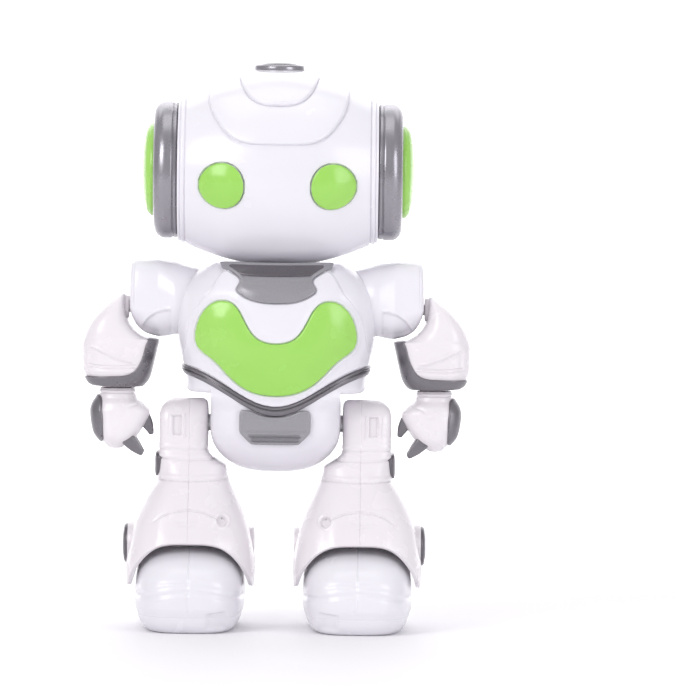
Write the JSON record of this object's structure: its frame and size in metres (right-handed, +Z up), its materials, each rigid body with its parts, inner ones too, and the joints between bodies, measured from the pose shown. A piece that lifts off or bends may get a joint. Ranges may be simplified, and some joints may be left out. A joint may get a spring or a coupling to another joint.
{
  "type": "walking humanoid robot",
  "caption": "Toy humanoid robot with barrel head, round ears and eyes, jointed arms with claw hands, and swinging bell-shaped legs on sliding feet with drive wheels.",
  "frame": {"origin": "on the floor under the middle of the robot", "axes": "+Z up, the robot faces -Y, its left hand is on +X"},
  "size_m": [0.182, 0.0926, 0.2648],
  "materials": {
    "white_shell": "glossy moulded ABS",
    "green_plastic": "glossy moulded ABS",
    "grey_trim": "satin silver-grey paint on ABS",
    "dark_plastic": "dark plastic",
    "steel": "plain steel",
    "mech_plastic": "natural nylon",
    "pcb": "solder-masked circuit board",
    "battery": "wrapped dry cells",
    "rubber": "matt rubber"
  },
  "bodies": {
    "torso": {"chest_front_shell": "white_shell", "chest_back_shell": "white_shell", "chest_plate": "white_shell", "chest_shield": "green_plastic", "neck_collar": "grey_trim", "waist_band": "grey_trim", "belly_plate": "grey_trim", "pelvis_front_shell": "white_shell", "pelvis_back_shell": "white_shell", "battery_tray": "dark_plastic", "battery_cells": "battery", "battery_contacts": "steel", "battery_door": "white_shell", "control_board": "pcb", "speaker": "dark_plastic", "walk_gearbox": "mech_plastic", "hip_shaft": "steel", "shoulder_bushes": "mech_plastic", "neck_post": "grey_trim", "body_screws": "steel"},
    "power_switch": {"power_switch_knob": "dark_plastic"},
    "head": {"head_front_shell": "white_shell", "head_back_shell": "white_shell", "brow_panel": "white_shell", "crown_panel": "white_shell", "ir_window": "dark_plastic", "eye_lenses": "green_plastic", "eye_light_board": "pcb", "ear_rings": "grey_trim", "ear_discs": "green_plastic"},
    "left_upper_arm": {"left_shoulder_shell": "white_shell", "left_arm_axle": "mech_plastic"},
    "left_forearm": {"left_forearm_shell": "white_shell", "left_forearm_trim": "grey_trim"},
    "left_hand": {"left_hand_shell": "white_shell", "left_hand_pad": "grey_trim", "left_hand_claws": "grey_trim"},
    "left_leg": {"left_leg_outer_shell": "white_shell", "left_leg_inner_shell": "white_shell", "left_leg_accents": "grey_trim", "left_ankle_pin": "steel"},
    "left_foot": {"left_foot_shell": "white_shell", "left_foot_sole": "white_shell", "left_foot_motor": "mech_plastic"},
    "left_wheels": {"left_drive_wheels": "rubber"},
    "right_upper_arm": {"right_shoulder_shell": "white_shell", "right_arm_axle": "mech_plastic"},
    "right_forearm": {"right_forearm_shell": "white_shell", "right_forearm_trim": "grey_trim"},
    "right_hand": {"right_hand_shell": "white_shell", "right_hand_pad": "grey_trim", "right_hand_claws": "grey_trim"},
    "right_leg": {"right_leg_outer_shell": "white_shell", "right_leg_inner_shell": "white_shell", "right_leg_accents": "grey_trim", "right_ankle_pin": "steel"},
    "right_foot": {"right_foot_shell": "white_shell", "right_foot_sole": "white_shell", "right_foot_motor": "mech_plastic"},
    "right_wheels": {"right_drive_wheels": "rubber"}
  },
  "joints": [
    {"name": "head_turn", "type": "hinge", "parent": "torso", "child": "head", "pos_m": [0, 0, 0.175], "axis": [0, 0, 1], "range_deg": [-45, 45]},
    {"name": "power_slide", "type": "slide", "parent": "torso", "child": "power_switch", "axis": [1, 0, 0], "range_m": [0, 0.003]},
    {"name": "left_shoulder", "type": "hinge", "parent": "torso", "child": "left_upper_arm", "pos_m": [0.045, 0, 0.154], "axis": [-1, 0, 0], "range_deg": [-40, 60]},
    {"name": "left_elbow", "type": "hinge", "parent": "left_upper_arm", "child": "left_forearm", "pos_m": [0.07, 0, 0.1497], "axis": [-1, 0, 0], "range_deg": [0, 40]},
    {"name": "left_wrist", "type": "hinge", "parent": "left_forearm", "child": "left_hand", "pos_m": [0.074, 0, 0.115], "axis": [0, 0, 1], "range_deg": [-60, 60]},
    {"name": "right_shoulder", "type": "hinge", "parent": "torso", "child": "right_upper_arm", "pos_m": [-0.045, 0, 0.154], "axis": [-1, 0, 0], "range_deg": [-40, 60]},
    {"name": "right_elbow", "type": "hinge", "parent": "right_upper_arm", "child": "right_forearm", "pos_m": [-0.07, 0, 0.1497], "axis": [-1, 0, 0], "range_deg": [0, 40]},
    {"name": "right_wrist", "type": "hinge", "parent": "right_forearm", "child": "right_hand", "pos_m": [-0.074, 0, 0.115], "axis": [0, 0, 1], "range_deg": [-60, 60]},
    {"name": "left_hip", "type": "hinge", "parent": "torso", "child": "left_leg", "pos_m": [0.043, 0, 0.096], "axis": [-1, 0, 0], "range_deg": [-6, 6]},
    {"name": "right_hip", "type": "hinge", "parent": "torso", "child": "right_leg", "pos_m": [-0.043, 0, 0.096], "axis": [-1, 0, 0], "range_deg": [-6, 6]},
    {"name": "left_ankle", "type": "hinge", "parent": "left_leg", "child": "left_foot", "pos_m": [0.0391, 0, 0.039], "axis": [-1, 0, 0], "range_deg": [-6, 6]},
    {"name": "right_ankle", "type": "hinge", "parent": "right_leg", "child": "right_foot", "pos_m": [-0.0391, 0, 0.039], "axis": [-1, 0, 0], "range_deg": [-6, 6]},
    {"name": "left_wheel_spin", "type": "hinge", "parent": "left_foot", "child": "left_wheels", "pos_m": [0.0391, 0.0196, 0.0082], "axis": [1, 0, 0], "continuous": true},
    {"name": "right_wheel_spin", "type": "hinge", "parent": "right_foot", "child": "right_wheels", "pos_m": [-0.0391, 0.0196, 0.0082], "axis": [1, 0, 0], "continuous": true}
  ],
  "couplings": [
    {"joint": "right_hip", "follows": "left_hip", "ratio": -1},
    {"joint": "left_ankle", "follows": "left_hip", "ratio": -1},
    {"joint": "right_ankle", "follows": "left_hip", "ratio": 1}
  ]
}
